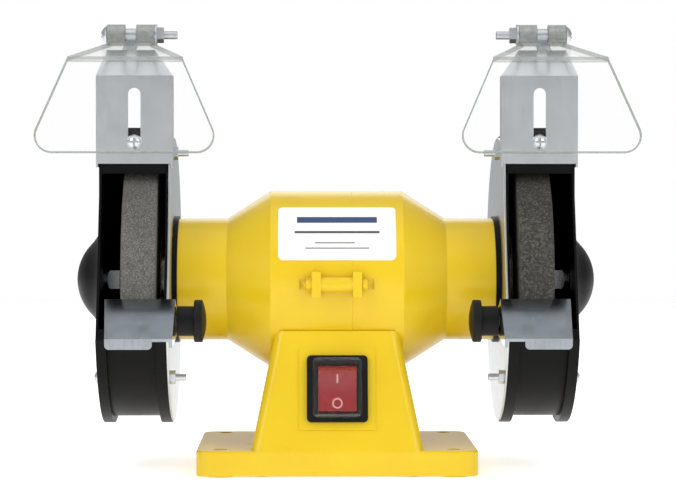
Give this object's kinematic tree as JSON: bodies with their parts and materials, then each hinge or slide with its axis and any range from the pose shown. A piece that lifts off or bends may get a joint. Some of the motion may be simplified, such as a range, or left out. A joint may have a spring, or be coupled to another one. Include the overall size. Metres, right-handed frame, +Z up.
{
  "type": "bench grinder",
  "caption": "Bench grinder with two guarded wheels, clear eye shields, tool rests and a rocker switch on a cast pedestal.",
  "frame": {"origin": "centre of the four bench holes, at the height of the surface that the feet stand on", "axes": "+X along the spindle to the operator's right, -Y towards the operator, +Z up"},
  "size_m": [0.3432, 0.2, 0.2637],
  "materials": {
    "yellow_paint": "satin",
    "black_paint": "satin",
    "zinc_plate": "bright zinc",
    "clear_plastic": "clear",
    "fine_stone": "fine grit",
    "coarse_stone": "coarse grit",
    "card_paper": "blotting card",
    "bare_steel": "machined",
    "black_plastic": "moulded",
    "red_plastic": "translucent moulded",
    "label_film": "printed film",
    "copper_wire": "enamelled copper",
    "core_steel": "stacked lamination",
    "rubber": "moulded",
    "capacitor_can": "drawn can"
  },
  "bodies": {
    "grinder": {"housing_left": "yellow_paint", "housing_right": "yellow_paint", "housing_bolts": "yellow_paint", "housing_nuts": "yellow_paint", "rating_label": "label_film", "stator_core": "core_steel", "stator_windings": "copper_wire", "wave_washer": "bare_steel", "base_pedestal": "yellow_paint", "saddle_screws": "zinc_plate", "base_plate": "zinc_plate", "base_plate_screws": "zinc_plate", "rubber_feet": "rubber", "cable_gland": "black_plastic", "capacitor": "capacitor_can", "capacitor_clip": "zinc_plate", "switch_frame": "black_plastic", "switch_dust_cover": "clear_plastic", "guard_screws": "zinc_plate", "guard_nuts": "zinc_plate", "guard_mount_screws": "zinc_plate", "shield_slide_screws": "zinc_plate", "rest_arm_screws": "zinc_plate", "bearing_left": "bare_steel", "bearing_right": "bare_steel", "guard_spacer_left": "black_paint", "guard_spacer_right": "black_paint", "guard_inner_plate_left": "zinc_plate", "guard_inner_plate_right": "zinc_plate", "guard_body_left": "black_paint", "guard_body_right": "black_paint", "guard_cover_left": "black_paint", "guard_cover_right": "black_paint", "rest_arm_left": "zinc_plate", "rest_arm_right": "zinc_plate"},
    "rotor": {"shaft": "bare_steel", "rotor_core": "core_steel", "wheel_flanges": "bare_steel", "wheel_blotters": "card_paper", "wheel_left": "fine_stone", "wheel_right": "coarse_stone", "wheel_nut_left": "bare_steel", "wheel_nut_right": "bare_steel"},
    "switch_rocker": {"switch_rocker": "red_plastic"},
    "shield_bracket_left": {"shield_bracket_left": "zinc_plate", "shield_hinge_bolt_left": "zinc_plate"},
    "eye_shield_left": {"eye_shield_left": "clear_plastic"},
    "rest_bolt_left": {"rest_bolt_left": "zinc_plate"},
    "tool_rest_left": {"tool_rest_left": "zinc_plate"},
    "rest_knob_left": {"rest_knob_left": "black_plastic"},
    "shield_bracket_right": {"shield_bracket_right": "zinc_plate", "shield_hinge_bolt_right": "zinc_plate"},
    "eye_shield_right": {"eye_shield_right": "clear_plastic"},
    "rest_bolt_right": {"rest_bolt_right": "zinc_plate"},
    "tool_rest_right": {"tool_rest_right": "zinc_plate"},
    "rest_knob_right": {"rest_knob_right": "black_plastic"}
  },
  "joints": [
    {"name": "rotor_spin", "type": "hinge", "parent": "grinder", "child": "rotor", "pos_m": [0, 0, 0.113], "axis": [1, 0, 0], "continuous": true},
    {"name": "rocker_tilt", "type": "hinge", "parent": "grinder", "child": "switch_rocker", "pos_m": [0, -0.05287, 0.04999], "axis": [-1, 0, 0], "range_deg": [0, 24]},
    {"name": "bracket_slide_left", "type": "slide", "parent": "grinder", "child": "shield_bracket_left", "axis": [0, 0, -1], "range_m": [0, 0.012]},
    {"name": "shield_tilt_left", "type": "hinge", "parent": "shield_bracket_left", "child": "eye_shield_left", "pos_m": [-0.12075, -0.036, 0.2572], "axis": [-1, 0, 0], "range_deg": [0, 75]},
    {"name": "rest_slide_left", "type": "slide", "parent": "grinder", "child": "rest_bolt_left", "axis": [0, -1, 0], "range_m": [-0.002, 0.008]},
    {"name": "rest_tilt_left", "type": "hinge", "parent": "rest_bolt_left", "child": "tool_rest_left", "pos_m": [-0.0937, -0.07, 0.091], "axis": [1, 0, 0], "range_deg": [-5, 10]},
    {"name": "knob_turn_left", "type": "hinge", "parent": "rest_bolt_left", "child": "rest_knob_left", "pos_m": [-0.087, -0.07, 0.091], "axis": [1, 0, 0], "continuous": true},
    {"name": "bracket_slide_right", "type": "slide", "parent": "grinder", "child": "shield_bracket_right", "axis": [0, 0, -1], "range_m": [0, 0.012]},
    {"name": "shield_tilt_right", "type": "hinge", "parent": "shield_bracket_right", "child": "eye_shield_right", "pos_m": [0.12075, -0.036, 0.2572], "axis": [-1, 0, 0], "range_deg": [0, 75]},
    {"name": "rest_slide_right", "type": "slide", "parent": "grinder", "child": "rest_bolt_right", "axis": [0, -1, 0], "range_m": [-0.002, 0.008]},
    {"name": "rest_tilt_right", "type": "hinge", "parent": "rest_bolt_right", "child": "tool_rest_right", "pos_m": [0.0937, -0.07, 0.091], "axis": [1, 0, 0], "range_deg": [-5, 10]},
    {"name": "knob_turn_right", "type": "hinge", "parent": "rest_bolt_right", "child": "rest_knob_right", "pos_m": [0.087, -0.07, 0.091], "axis": [1, 0, 0], "continuous": true}
  ]
}
